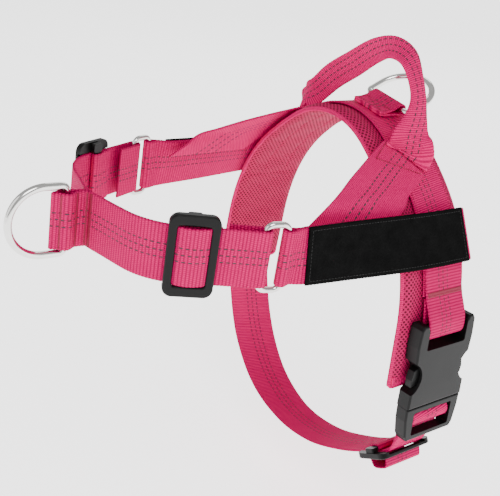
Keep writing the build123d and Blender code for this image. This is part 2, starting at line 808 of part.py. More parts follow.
HANDLE_FOOT = (foot_station(FOOT_LEN), foot_station(FOOT_LEN / 2), foot_station(0))
HANDLE_LOOP = (
    ((4.0, 57.5, -5.6), (-0.25, 0.1, 1.0), (-0.75, 0.60, -0.25), 36.0, 2.0),
    ((5.5, 59.8, 4.0), (-0.1, 0.08, 1.0), (-0.86, 0.48, -0.12), 28.0, 2.6),
    ((3.0, 59.3, 15.0), (-0.2, -0.1, 1.0), (-0.95, 0.3, -0.1), 17.0, 3.6),
    ((0.8, 55.5, 28.0), (-0.1, -0.4, 1.0), (-0.98, 0.1, 0.05), 13.0, 4.0),
    ((0.0, 45.0, 46.0), (0.0, -0.8, 0.8), (-0.92, -0.1, 0.35), 13.5, 4.0),
    ((-0.3, 27.0, 55.0), (0.0, -1.0, 0.05), (-0.75, -0.1, 0.65), 15.0, 3.8),
    ((-0.6, 8.0, 50.5), (0.0, -1.0, -0.5), (-0.6, -0.35, 0.72), 16.0, 3.6),
    ((0.5, -14.0, 35.0), (0.1, -1.0, -0.72), (-0.55, -0.45, 0.7), 17.0, 3.4),
    ((3.5, -33.0, 20.5), (0.22, -1.0, -0.85), (-0.6, -0.5, 0.6), 20.0, 3.0),
    ((7.5, -46.5, 8.0), (0.2, -1.0, -1.0), (-0.7, -0.55, 0.4), 26.0, 2.6),
    ((8.2, -58.0, -2.8), (0.1, 0.08, -1.0), (-0.75, -0.60, -0.14), 36.0, 2.0),
)

with BuildPart() as handle_foot_left:
    add(ribbon(HANDLE_FOOT, 1))

with BuildPart() as handle_foot_right:
    add(ribbon(HANDLE_FOOT, -1))

with BuildPart() as handle_loop:
    add(ribbon(HANDLE_LOOP, 1))

# ---- labels and files ----
os.makedirs("parts", exist_ok=True)
pad_lining.part.label = "pad_lining"
export_step(pad_lining.part, "parts/pad_lining.step")
pad_foam.part.label = "pad_foam"
export_step(pad_foam.part, "parts/pad_foam.step")
pad_cover.part.label = "pad_cover"
export_step(pad_cover.part, "parts/pad_cover.step")
pad_binding.part.label = "pad_binding"
export_step(pad_binding.part, "parts/pad_binding.step")
girth_webbing.part.label = "girth_webbing"
export_step(girth_webbing.part, "parts/girth_webbing.step")
socket_loop.part.label = "socket_loop"
export_step(socket_loop.part, "parts/socket_loop.step")
belly_strap.part.label = "belly_strap"
export_step(belly_strap.part, "parts/belly_strap.step")
belly_loop.part.label = "belly_loop"
export_step(belly_loop.part, "parts/belly_loop.step")
girth_slider.part.label = "girth_slider"
export_step(girth_slider.part, "parts/girth_slider.step")
girth_slider_tail.part.label = "girth_slider_tail"
export_step(girth_slider_tail.part, "parts/girth_slider_tail.step")
buckle_socket.part.label = "buckle_socket"
export_step(buckle_socket.part, "parts/buckle_socket.step")
buckle_plug.part.label = "buckle_plug"
export_step(buckle_plug.part, "parts/buckle_plug.step")
plug_arm_rear.part.label = "plug_arm_rear"
export_step(plug_arm_rear.part, "parts/plug_arm_rear.step")
plug_arm_front.part.label = "plug_arm_front"
export_step(plug_arm_front.part, "parts/plug_arm_front.step")
chest_strap_left.part.label = "chest_strap_left"
export_step(chest_strap_left.part, "parts/chest_strap_left.step")
chest_strap_right.part.label = "chest_strap_right"
export_step(chest_strap_right.part, "parts/chest_strap_right.step")
link_ring_left.part.label = "link_ring_left"
export_step(link_ring_left.part, "parts/link_ring_left.step")
link_ring_right.part.label = "link_ring_right"
export_step(link_ring_right.part, "parts/link_ring_right.step")
chest_slider_left.part.label = "chest_slider_left"
export_step(chest_slider_left.part, "parts/chest_slider_left.step")
chest_slider_right.part.label = "chest_slider_right"
export_step(chest_slider_right.part, "parts/chest_slider_right.step")
chest_tail_left.part.label = "chest_tail_left"
export_step(chest_tail_left.part, "parts/chest_tail_left.step")
chest_tail_right.part.label = "chest_tail_right"
export_step(chest_tail_right.part, "parts/chest_tail_right.step")
front_pleat.part.label = "front_pleat"
export_step(front_pleat.part, "parts/front_pleat.step")
front_ring.part.label = "front_ring"
export_step(front_ring.part, "parts/front_ring.step")
top_tab.part.label = "top_tab"
export_step(top_tab.part, "parts/top_tab.step")
top_ring.part.label = "top_ring"
export_step(top_ring.part, "parts/top_ring.step")
side_panel_left.part.label = "side_panel_left"
export_step(side_panel_left.part, "parts/side_panel_left.step")
side_panel_right.part.label = "side_panel_right"
export_step(side_panel_right.part, "parts/side_panel_right.step")
label_patch_left.part.label = "label_patch_left"
export_step(label_patch_left.part, "parts/label_patch_left.step")
label_patch_right.part.label = "label_patch_right"
export_step(label_patch_right.part, "parts/label_patch_right.step")
diagonal_strap_left.part.label = "diagonal_strap_left"
export_step(diagonal_strap_left.part, "parts/diagonal_strap_left.step")
diagonal_strap_right.part.label = "diagonal_strap_right"
export_step(diagonal_strap_right.part, "parts/diagonal_strap_right.step")
handle_foot_left.part.label = "handle_foot_left"
export_step(handle_foot_left.part, "parts/handle_foot_left.step")
handle_foot_right.part.label = "handle_foot_right"
export_step(handle_foot_right.part, "parts/handle_foot_right.step")
handle_loop.part.label = "handle_loop"
export_step(handle_loop.part, "parts/handle_loop.step")
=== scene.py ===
import math

import bmesh
import bpy
import numpy as np
from mathutils import Matrix, Vector


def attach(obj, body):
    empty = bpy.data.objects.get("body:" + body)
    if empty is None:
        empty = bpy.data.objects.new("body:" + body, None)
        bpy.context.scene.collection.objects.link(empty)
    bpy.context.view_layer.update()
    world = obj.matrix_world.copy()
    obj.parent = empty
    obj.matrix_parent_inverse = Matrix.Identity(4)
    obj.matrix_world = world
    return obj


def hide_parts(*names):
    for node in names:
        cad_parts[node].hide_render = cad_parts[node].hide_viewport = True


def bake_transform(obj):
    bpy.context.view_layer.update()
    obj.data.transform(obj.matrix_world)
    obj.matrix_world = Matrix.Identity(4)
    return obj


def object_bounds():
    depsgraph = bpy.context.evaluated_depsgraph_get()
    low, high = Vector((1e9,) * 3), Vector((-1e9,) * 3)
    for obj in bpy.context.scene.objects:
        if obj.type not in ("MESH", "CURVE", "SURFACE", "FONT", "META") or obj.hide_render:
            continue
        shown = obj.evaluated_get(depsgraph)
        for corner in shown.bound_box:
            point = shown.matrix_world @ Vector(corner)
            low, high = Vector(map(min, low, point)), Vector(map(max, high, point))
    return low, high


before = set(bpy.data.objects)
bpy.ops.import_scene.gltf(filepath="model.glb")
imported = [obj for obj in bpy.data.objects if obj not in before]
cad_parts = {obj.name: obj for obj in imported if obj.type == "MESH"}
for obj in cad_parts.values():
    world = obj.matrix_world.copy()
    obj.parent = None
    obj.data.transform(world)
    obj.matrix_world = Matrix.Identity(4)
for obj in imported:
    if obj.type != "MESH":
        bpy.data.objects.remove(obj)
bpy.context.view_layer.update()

MM = 0.001
WEB_W, WEB_T = 38.0, 1.6


def v3(*xyz):
    return np.array(xyz, float)


def unit(v):
    v = np.asarray(v, float)
    return v / np.maximum(np.linalg.norm(v, axis=-1, keepdims=True), 1e-9)


# ---------------------------------------------------------------- camera and light
def aim(place, right, up, forward):
    columns = [right, up, [-c for c in forward], place]
    return Matrix([[c[row] for c in columns] for row in range(3)] + [[0, 0, 0, 1]])


camera = bpy.data.objects.new("camera", bpy.data.cameras.new("camera"))
bpy.context.collection.objects.link(camera)
camera.data.lens = 57.6
camera.data.sensor_width = 36
camera.data.clip_start = 0.01
camera.matrix_world = aim(
    (0.4201, 0.4281, 0.1645), (-0.8163, 0.5711, 0.0866), (-0.1851, -0.4006, 0.8974), (-0.5472, -0.7165, -0.4327)
)
bpy.context.scene.camera = camera


def area_light(name, place, target, size, power):
    data = bpy.data.lights.new(name, "AREA")
    data.shape = "DISK"
    data.size = size
    data.energy = power
    light = bpy.data.objects.new(name, data)
    bpy.context.collection.objects.link(light)
    light.location = place
    light.rotation_euler = (Vector(target) - Vector(place)).to_track_quat("-Z", "Y").to_euler()


CENTRE = (0.06, 0.0, -0.12)
area_light("key", (0.5, 1.1, 1.3), CENTRE, 0.9, 15)
area_light("fill", (1.4, -0.1, 0.5), CENTRE, 1.4, 7)
area_light("back", (-1.0, -1.2, 1.0), CENTRE, 1.2, 8)
area_light("near", (-0.7, 1.5, 0.1), CENTRE, 1.3, 8)
world = bpy.data.worlds.new("studio")
world.use_nodes = True
world.node_tree.nodes["Background"].inputs[0].default_value = (1, 1, 1, 1)
world.node_tree.nodes["Background"].inputs[1].default_value = 0.55
bpy.context.scene.world = world


# ---------------------------------------------------------------- node graphs
class Graph:
    """A material, with short calls for the maths that its pattern needs."""

    def __init__(self, name):
        self.material = bpy.data.materials.new(name)
        self.material.use_nodes = True
        self.tree = self.material.node_tree
        self.shader = self.tree.nodes["Principled BSDF"]

    def add(self, kind, **settings):
        node = self.tree.nodes.new(kind)
        for key, value in settings.items():
            setattr(node, key, value)
        return node

    def put(self, socket, value):
        if isinstance(value, bpy.types.NodeSocket):
            self.tree.links.new(value, socket)
        else:
            socket.default_value = value

    def math(self, operation, a, b=0.0, c=None):
        node = self.add("ShaderNodeMath", operation=operation)
        self.put(node.inputs[0], a)
        self.put(node.inputs[1], b)
        if c is not None:
            self.put(node.inputs[2], c)
        return node.outputs[0]

    def mix(self, share, a, b):
        node = self.add("ShaderNodeMix", data_type="RGBA")
        self.put(node.inputs[0], share)
        self.put(node.inputs[6], a)
        self.put(node.inputs[7], b)
        return node.outputs[2]

    def ramp(self, value, low, high):
        node = self.add("ShaderNodeMapRange", interpolation_type="SMOOTHSTEP")
        self.put(node.inputs[0], value)
        node.inputs[1].default_value = low
        node.inputs[2].default_value = high
        return node.outputs[0]

    def flat(self):
        """Along and across the cloth, in mm."""
        node = self.add("ShaderNodeUVMap", uv_map="cloth")
        split = self.add("ShaderNodeSeparateXYZ")
        self.tree.links.new(node.outputs[0], split.inputs[0])
        return split.outputs[0], split.outputs[1]

    def noise(self, scale, detail=3.0, uv=False):
        node = self.add("ShaderNodeTexNoise")
        if uv:
            source = self.add("ShaderNodeUVMap", uv_map="cloth").outputs[0]
        else:
            source = self.add("ShaderNodeTexCoord").outputs["Object"]
        self.tree.links.new(source, node.inputs["Vector"])
        node.inputs["Scale"].default_value = scale
        node.inputs["Detail"].default_value = detail
        return node.outputs[0]

    def bump(self, height, distance, strength=1.0):
        node = self.add("ShaderNodeBump")
        node.inputs["Strength"].default_value = strength
        node.inputs["Distance"].default_value = distance
        self.put(node.inputs["Height"], height)
        self.tree.links.new(node.outputs[0], self.shader.inputs["Normal"])

    def paint(self, colour, rough):
        self.put(self.shader.inputs["Base Color"], colour)
        self.put(self.shader.inputs["Roughness"], rough)


PINK = (0.84, 0.0003, 0.16, 1)
PINK_DARK = (0.19, 0.0005, 0.03, 1)
THREAD = (0.36, 0.001, 0.045, 1)
GREY = (0.055, 0.05, 0.055, 1)
ROWS = (2.9, -1.5, -5.9)


def webbing(name, basket, rows=ROWS, deep=1.0):
    """Woven polyester: basket weave or fine ribs, with three dashed rows of grey reflective thread; the weave's
    ridges carry a painted highlight and its hollows painted shade.
    """
    g = Graph(name)
    u, v = g.flat()
    if basket:
        column = g.math("DIVIDE", u, 2.2)
        ridge = g.math("POWER", g.math("ABSOLUTE", g.math("SINE", g.math("MULTIPLY", column, math.pi))), 0.7)
        step = g.math("MULTIPLY", g.math("FLOOR", column), math.pi)
        bead = g.math("MULTIPLY_ADD", g.math("SINE", g.math("MULTIPLY_ADD", v, 2 * math.pi / 1.25, step)), 0.5, 0.5)
        height = g.math("MULTIPLY", ridge, g.math("MULTIPLY_ADD", bead, 0.55, 0.45))
    else:
        skew = g.math("MULTIPLY_ADD", v, 0.16, u)
        rib = g.math("MULTIPLY_ADD", g.math("SINE", g.math("MULTIPLY", skew, 2 * math.pi / 1.5)), 0.5, 0.5)
        cross = g.math("MULTIPLY_ADD", g.math("SINE", g.math("MULTIPLY", v, 2 * math.pi / 0.9)), 0.5, 0.5)
        height = g.math("MULTIPLY_ADD", cross, 0.15, g.math("MULTIPLY", rib, 0.85))
    row = 0.0
    for place in rows:
        near = g.math("LESS_THAN", g.math("ABSOLUTE", g.math("SUBTRACT", v, place)), 0.42)
        shift = g.math("FRACT", g.math("MULTIPLY_ADD", u, 1 / 4.0, abs(place) * 0.13))
        row = g.math("MAXIMUM", row, g.math("MULTIPLY", near, g.math("LESS_THAN", shift, 0.58)))
    edge = g.ramp(g.math("ABSOLUTE", v), WEB_W / 2 - 1.6, WEB_W / 2 - 0.7)
    # painted highlight and painted shade: the weave's ridges are painted full pink and its hollows dark pink,
    # standing in for light on the ridges and shade between them
    shade = g.ramp(height, 0.0, 1.15 if basket else 0.65)
    patchy = g.noise(0.09, 2.0, uv=True)
    cloth = g.mix(g.math("MULTIPLY_ADD", shade, 0.75 * deep, 1 - 0.75 * deep), PINK_DARK, PINK)
    cloth = g.mix(g.math("MULTIPLY", patchy, 0.22), cloth, PINK_DARK)
    cloth = g.mix(g.math("MULTIPLY", edge, 0.18), cloth, PINK_DARK)
    g.paint(g.mix(row, cloth, GREY), g.math("MULTIPLY_ADD", row, -0.25, 0.68))
    g.bump(g.math("MULTIPLY_ADD", row, 0.5, height), 0.0005, 1.0)
    g.shader.inputs["Sheen Weight"].default_value = 0.01
    g.shader.inputs["Specular IOR Level"].default_value = 0.04
    return g.material


def mesh_cloth(name, pitch, bright):
    """Knitted spacer mesh with staggered round holes, the holes painted dark as the shade inside them."""
    g = Graph(name)
    u, v = g.flat()
    lattice = []
    for shift in (0.0, 0.5):
        cu = g.math("SUBTRACT", g.math("FRACT", g.math("MULTIPLY_ADD", u, 1 / (pitch * 1.3), shift)), 0.5)
        cv = g.math("SUBTRACT", g.math("FRACT", g.math("MULTIPLY_ADD", v, 1 / (pitch * 1.15), shift)), 0.5)
        cu = g.math("MULTIPLY", cu, pitch * 1.3)
        cv = g.math("MULTIPLY", cv, pitch * 1.15)
        lattice.append(g.math("SQRT", g.math("ADD", g.math("MULTIPLY", cu, cu), g.math("MULTIPLY", cv, cv))))
    near = g.math("MINIMUM", lattice[0], lattice[1])
    rim = g.ramp(near, pitch * 0.18, pitch * 0.32)
    knit = g.noise(1.1, 3.0, uv=True)
    tone = g.mix(g.math("MULTIPLY", knit, 0.25), bright, PINK_DARK)
    tone = g.mix(g.math("MULTIPLY", g.noise(0.07, 2.0, uv=True), 0.25), tone, PINK_DARK)
    # painted shade: the round holes are painted a near-black red, standing in for the shade inside them
    g.paint(g.mix(rim, (0.10, 0.002, 0.014, 1), tone), 0.8)
    g.bump(g.math("MULTIPLY_ADD", knit, 0.08, rim), 0.0007, 1.0)
    g.shader.inputs["Specular IOR Level"].default_value = 0.2
    return g.material


def loop_cloth(name):
    """Black napped loop patch."""
    g = Graph(name)
    fuzz = g.noise(900.0, 4.0)
    soft = g.noise(120.0, 3.0)
    g.paint(g.mix(g.math("MULTIPLY", soft, fuzz), (0.001, 0.001, 0.001, 1), (0.012, 0.012, 0.012, 1)), 0.95)
    g.bump(fuzz, 0.0006, 0.8)
    g.shader.inputs["Specular IOR Level"].default_value = 0.05
    return g.material


def plastic(name, tone):
    """Moulded plastic with a fine spark-eroded texture."""
    g = Graph(name)
    grain = g.noise(1500.0, 2.0)
    broad = g.noise(40.0, 2.0)
    g.paint(g.mix(broad, (tone * 0.8, tone * 0.8, tone * 0.82, 1), (tone * 1.15, tone * 1.15, tone * 1.2, 1)),
            g.math("MULTIPLY_ADD", broad, 0.12, 0.36))
    g.bump(grain, 0.00006, 0.5)
    g.shader.inputs["Specular IOR Level"].default_value = 0.16
    return g.material


def steel(name):
    """Nickel-plated wire with faint draw lines."""
    g = Graph(name)
    wear = g.noise(160.0, 3.0)
    g.paint(g.mix(wear, (0.66, 0.65, 0.63, 1), (0.80, 0.79, 0.77, 1)), g.math("MULTIPLY_ADD", wear, 0.12, 0.08))
    g.bump(wear, 0.00005, 0.3)
    g.shader.inputs["Metallic"].default_value = 1.0
    return g.material


def thread_cloth(name, tone):
    g = Graph(name)
    twist = g.noise(1800.0, 2.0)
    g.paint(g.mix(twist, tuple(c * 0.45 for c in tone[:3]) + (1,), tone), 0.6)
    g.bump(twist, 0.0001, 0.5)
    return g.material


BASKET = webbing("basket_webbing", True)
RIBBED = webbing("ribbed_webbing", False, deep=0.9)
PLAIN = webbing("plain_webbing", False, rows=(), deep=0.75)
# the pad mesh's own pink, darkened further as painted shade for the shaded pad; the lining is painted a little
# darker still
MESH_OUT = mesh_cloth("mesh_cover", 2.9, (0.54, 0.001, 0.10, 1))
MESH_IN = mesh_cloth("mesh_lining", 3.1, (0.50, 0.002, 0.075, 1))
LOOP = loop_cloth("loop_patch")
BUCKLE = plastic("buckle_plastic", 0.003)
SLIDER = plastic("slider_plastic", 0.003)
STEEL = steel("ring_steel")
STITCH = thread_cloth("sewing_thread", THREAD)
STITCH_BLACK = thread_cloth("black_thread", (0.012, 0.012, 0.012, 1))


# ---------------------------------------------------------------- mesh building
def make(name, points, faces, uvs, material, body, nodes=()):
    """One mesh piece, from points in mm, riding on a body."""
    data = bpy.data.meshes.new(name)
    data.from_pydata((np.asarray(points) * MM).tolist(), [], faces)
    if uvs is not None:
        layer = data.uv_layers.new(name="cloth")
        corner = np.zeros(len(data.loops), np.int32)
        data.loops.foreach_get("vertex_index", corner)
        layer.data.foreach_set("uv", np.asarray(uvs, np.float32)[corner].ravel())
    data.polygons.foreach_set("use_smooth", [True] * len(data.polygons))
    data.materials.append(material)
    data.update()
    piece = bpy.data.objects.new(name, data)
    bpy.context.collection.objects.link(piece)
    if body:
        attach(piece, body)
    if nodes:
        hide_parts(*nodes)
    return piece


def flow(points, step=1.0):
    """Smooth line through points (centripetal Catmull-Rom), resampled at an even step."""
    p = np.asarray(points, float)
    p = np.vstack([2 * p[0] - p[1], p, 2 * p[-1] - p[-2]])
    out = []
    for a, b, c, d in zip(p[:-3], p[1:-2], p[2:-1], p[3:]):
        ta = max(np.linalg.norm(b[:3] - a[:3]) ** 0.5, 1e-3)
        tb = ta + max(np.linalg.norm(c[:3] - b[:3]) ** 0.5, 1e-3)
        tc = tb + max(np.linalg.norm(d[:3] - c[:3]) ** 0.5, 1e-3)
        for t in np.linspace(ta, tb, 24, endpoint=False)[:, None]:
            q1 = a * (ta - t) / ta + b * t / ta
            q2 = b * (tb - t) / (tb - ta) + c * (t - ta) / (tb - ta)
            q3 = c * (tc - t) / (tc - tb) + d * (t - tb) / (tc - tb)
            r1 = q1 * (tb - t) / tb + q2 * t / tb
            r2 = q2 * (tc - t) / (tc - ta) + q3 * (t - ta) / (tc - ta)
            out.append((r1 * (tb - t) / (tb - ta) + r2 * (t - ta) / (tb - ta)).ravel())
    out.append(p[-2])
    return even(np.array(out), step)


def even(line, step=1.0):
    """The same line at an even step."""
    run = np.r_[0, np.cumsum(np.linalg.norm(np.diff(line[:, :3], axis=0), axis=1))]
    count = max(int(round(run[-1] / step)), 4)
    at = np.linspace(0, run[-1], count + 1)
    return np.stack([np.interp(at, run, line[:, k]) for k in range(line.shape[1])], 1)


class Band:
    """A strap: centres, across and outward directions, width and thickness at each station."""

    def __init__(self, centre, across, width=WEB_W, thick=WEB_T, outward=None):
        self.c = np.asarray(centre, float)
        n = len(self.c)
        along = unit(np.gradient(self.c, axis=0))
        self.a = np.broadcast_to(np.asarray(across, float), (n, 3)).copy()
        self.a = unit(self.a - along * (self.a * along).sum(1, keepdims=True))
        self.n = unit(np.cross(along, self.a))
        if outward is not None and (self.n * np.asarray(outward)).sum() < 0:
            self.a = -self.a
            self.n = -self.n
        self.w = np.broadcast_to(np.asarray(width, float), (n,)).copy()
        self.t = np.broadcast_to(np.asarray(thick, float), (n,)).copy()
        run = np.linalg.norm(np.diff(self.c, axis=0), axis=1)
        self.s = np.r_[0, np.cumsum(run)]

    def face(self, station, outward):
        """Turn the strap over if its outer face looks the wrong way at a station."""
        if self.n[station] @ outward < 0:
            self.a, self.n = -self.a, -self.n

    def at(self, s, v, h):
        """Point at distance s along, v across and h above the outer face."""
        s, v, h = np.broadcast_arrays(np.asarray(s, float), v, h)
        centre, side, out = (
            np.stack([np.interp(s, self.s, values[:, k]) for k in range(3)], -1)
            for values in (self.c, self.a, self.n)
        )
        top = np.interp(s, self.s, self.t) / 2
        return centre + side * v[..., None] + out * (top + h)[..., None]

    def mesh(self, columns=26, lift=None):
        """Rounded flat section: outer face, then inner face, sharing the two edges."""
        a = np.sin(np.linspace(-math.pi / 2, math.pi / 2, columns + 1))
        a = 0.55 * a + 0.45 * np.linspace(-1, 1, columns + 1)
        half_w = self.w[:, None] / 2
        half_t = self.t[:, None] / 2
        inset = np.clip((np.abs(a)[None] * half_w - (half_w - half_t)) / half_t, 0, 1)
        skin = half_t * np.sqrt(np.clip(1 - inset**2, 0, 1))
        scallop = 0.16 * np.sin(self.s * 2 * math.pi / 2.2)[:, None] * (np.abs(a)[None] > 0.999)
        across = a[None] * half_w + np.sign(a)[None] * scallop
        rise = lift(self.s[:, None], across) if lift is not None else np.zeros_like(across)
        centre, side, out = self.c[:, None], self.a[:, None], self.n[:, None]
        top = centre + side * across[..., None] + out * (skin + rise)[..., None]
        low = centre + side * across[..., None] + out * (rise - skin)[..., None]
        points = np.concatenate([top, low[:, -2:0:-1]], 1)
        across_all = np.concatenate([across, across[:, -2:0:-1]], 1)
        n, m = points.shape[:2]
        uv = np.stack([np.broadcast_to(self.s[:, None], (n, m)), across_all], -1).reshape(-1, 2)
        faces = []
        for i in range(n - 1):
            for j in range(m):
                k = (j + 1) % m
                faces.append((i * m + j, i * m + k, (i + 1) * m + k, (i + 1) * m + j))
        for base, turn in ((0, 1), ((n - 1) * m, -1)):
            for j in range(columns):
                quad = [base + j, base + (m - j) % m, base + m - j - 1, base + j + 1]
                faces.append(tuple(list(dict.fromkeys(quad))[::turn]))
        return points.reshape(-1, 3), faces, uv

    def build(self, name, material, body, nodes=(), slot="pink_webbing", **options):
        points, faces, uv = self.mesh(**options)
        return make(name, points, faces, uv, material, body, nodes)


def tube(name, line, radius, body, node, sides=20):
    """Ring of round steel wire along a closed line in mm."""
    along = unit(np.roll(line, -1, 0) - np.roll(line, 1, 0))
    side = unit(np.cross(along[0], v3(0.3, 0.5, 0.8)))
    frames = []
    for tangent in along:
        side = unit(side - tangent * (side @ tangent))
        frames.append((side, np.cross(tangent, side)))
    turn = np.linspace(0, 2 * math.pi, sides, endpoint=False)
    points = np.array([
        p + radius * (np.cos(t) * f[0] + np.sin(t) * f[1]) for p, f in zip(line, frames) for t in turn
    ])
    n = len(line)
    faces = []
    for i in range(n):
        for j in range(sides):
            k = (j + 1) % sides
            faces.append((i * sides + j, i * sides + k, (i + 1) % n * sides + k, (i + 1) % n * sides + j))
    make(name, points, faces, None, STEEL, body, (node,))


def sew(name, runs, body, material=STITCH, radius=0.32):
    """Threads: each run is (start points, end points, outward directions), sunk a little into the cloth."""
    points, faces = [], []
    turn = np.linspace(0, 2 * math.pi, 6, endpoint=False)
    rings = ((0.0, 0.25, -0.35), (0.14, 0.85, 0.0), (0.5, 1.0, 0.25), (0.86, 0.85, 0.0), (1.0, 0.25, -0.35))
    for starts, ends, outs in runs:
        for a, b, out in zip(starts, ends, outs):
            along = unit(b - a)
            side = unit(np.cross(along, out))
            up = np.cross(side, along)
            base = len(points)
            for share, wide, lift in rings:
                centre = a + (b - a) * share + up * lift * radius
                for t in turn:
                    points.append(centre + wide * radius * (side * math.cos(t) + up * math.sin(t)))
            for i in range(4):
                for j in range(6):
                    k = (j + 1) % 6
                    faces.append((base + i * 6 + j, base + i * 6 + k, base + i * 6 + 6 + k, base + i * 6 + 6 + j))
            faces.append(tuple(base + j for j in range(6))[::-1])
            faces.append(tuple(base + 24 + j for j in range(6)))
    make(name, points, faces, None, material, body)


def stitch_run(band, corners, pitch=2.6, gap=0.22, height=0.05):
    """Running stitches on a band along straight lines between (s, v) corners."""
    starts, ends, outs = [], [], []
    for (s0, v0), (s1, v1) in zip(corners[:-1], corners[1:]):
        length = math.hypot(s1 - s0, v1 - v0)
        count = max(1, round(length / pitch))
        at = np.arange(count) / count
        to = at + (1 - gap) / count
        starts.append(band.at(s0 + (s1 - s0) * at, v0 + (v1 - v0) * at, height))
        ends.append(band.at(s0 + (s1 - s0) * to, v0 + (v1 - v0) * to, height))
        outs.append(band.at(s0 + (s1 - s0) * at, v0 + (v1 - v0) * at, height + 1) - starts[-1])
    return np.vstack(starts), np.vstack(ends), np.vstack(outs)


def bar_tack(band, s, v0, v1, long=3.0, pitch=0.85):
    """Dense zigzag seam across a band."""
    count = max(2, int(abs(v1 - v0) / pitch))
    v = np.linspace(v0, v1, count + 1)
    low = band.at(np.full(count, s - long / 2), v[:-1], 0.06)
    high = band.at(np.full(count, s + long / 2), v[:-1] + (v[1] - v[0]) * 0.5, 0.06)
    back = band.at(np.full(count, s - long / 2), v[1:], 0.06)
    out = band.at(np.full(count, s), v[:-1], 1.0) - band.at(np.full(count, s), v[:-1], 0.0)
    return np.vstack([low, high]), np.vstack([high, back]), np.vstack([out, out])


# ---------------------------------------------------------------- the CAD layout, in mm
LEAN = math.radians(3.3)
FWD = v3(math.cos(LEAN), 0, math.sin(LEAN))
UP = v3(-math.sin(LEAN), 0, math.cos(LEAN))
LEFT = v3(0, 1, 0)
ARCS = ((63.0, 35.0), (227.0, 11.0), (117.0, 24.0), (157.0, 16.0))
BELT_X = -5.0
SIDE_ANGLE = 86.0
BUCKLE_OFF = 13.3
SLOPE = math.radians(33)


def girth(y, z, x=0.0):
    y, z, x = np.broadcast_arrays(np.asarray(y, float), z, x)
    return y[..., None] * LEFT + z[..., None] * UP + x[..., None] * FWD


def arch(offset, angle, drop=0.0):
    """(y, z) on the left flank where the arch has turned by angle, offset out from the pad."""
    y = z = turned = 0.0
    for radius, turn in ARCS:
        a = math.radians(turned)
        b = math.radians(turned + max(0.0, min(turn, angle - turned)))
        y += radius * (math.sin(b) - math.sin(a))
        z -= radius * (math.cos(a) - math.cos(b))
        turned += turn
    a = math.radians(angle)
    return y + offset * math.sin(a) + drop * math.cos(a), z + offset * math.cos(a) - drop * math.sin(a)


def arch_line(left_angle, left_drop, right_angle, right_drop):
    """Angle, drop and side of stations from the right end, over the back, to the left end."""
    right = [(a, 0.0, -1) for a in np.arange(0, right_angle + 0.01, 1.0)]
    right += [(right_angle, d, -1) for d in np.arange(1.5, right_drop + 0.01, 1.5)]
    left = [(a, 0.0, 1) for a in np.arange(1.0, left_angle + 0.01, 1.0)]
    left += [(left_angle, d, 1) for d in np.arange(1.5, left_drop + 0.01, 1.5)]
    return right[::-1] + left


def over_back(stations, offset, x=0.0):
    """World points of arch stations, and their outward directions."""
    points, out = [], []
    for angle, drop, side in stations:
        y, z = arch(offset, angle, drop)
        points.append(girth(side * y, z, x))
        out.append(girth(side * math.sin(math.radians(angle)), math.cos(math.radians(angle))))
    return np.array(points), np.array(out)


SIDE_Y, SIDE_Z = arch(BUCKLE_OFF, SIDE_ANGLE)
RISE_Y, RISE_Z = -math.cos(math.radians(SIDE_ANGLE)), math.sin(math.radians(SIDE_ANGLE))


def beside_buckle(spots):
    """(y, z) of spots given out from the body and up from the buckle socket's bar."""
    y = SIDE_Y + spots[:, 0] * RISE_Z + spots[:, 1] * RISE_Y
    z = SIDE_Z - spots[:, 0] * RISE_Y + spots[:, 1] * RISE_Z
    return y, z


def by_side(spots, x=BELT_X):
    """World points of the same spots."""
    return girth(*beside_buckle(spots), x)


PITCH = math.radians(4.5)
CHEST_AT = v3(141, 0, -52)
RING_Y = 87.0
CHEST_STRAIGHT = 49
CHEST_BEND_R = 44
SLIDER_AT = 44
CHEST_U = v3(math.cos(PITCH), 0, math.sin(PITCH))
CHEST_N = v3(-math.sin(PITCH), 0, math.cos(PITCH))
TURN = math.radians(-15)
HEADING = math.radians(-26)
BAR_RUN = 7.5
WRAP = 3.9


def chest(u, v, side, n=0.0):
    u, v, n = np.broadcast_arrays(np.asarray(u, float), v, n)
    return CHEST_AT + u[..., None] * CHEST_U + side * v[..., None] * LEFT + n[..., None] * CHEST_N


def beside_chest(run, out):
    """(u, v) beside the straight part of a chest strap."""
    bar_u, bar_v = BAR_RUN * math.cos(TURN), RING_Y + BAR_RUN * math.sin(TURN)
    off = WRAP + out
    return (bar_u + run * math.cos(HEADING) - off * math.sin(HEADING),
            bar_v + run * math.sin(HEADING) + off * math.cos(HEADING))


def slope_spot(run):
    """(y, z) beside the girth slider, on the rising end of the belly strap."""
    return 101 + run * math.cos(SLOPE), -241 + run * math.sin(SLOPE)


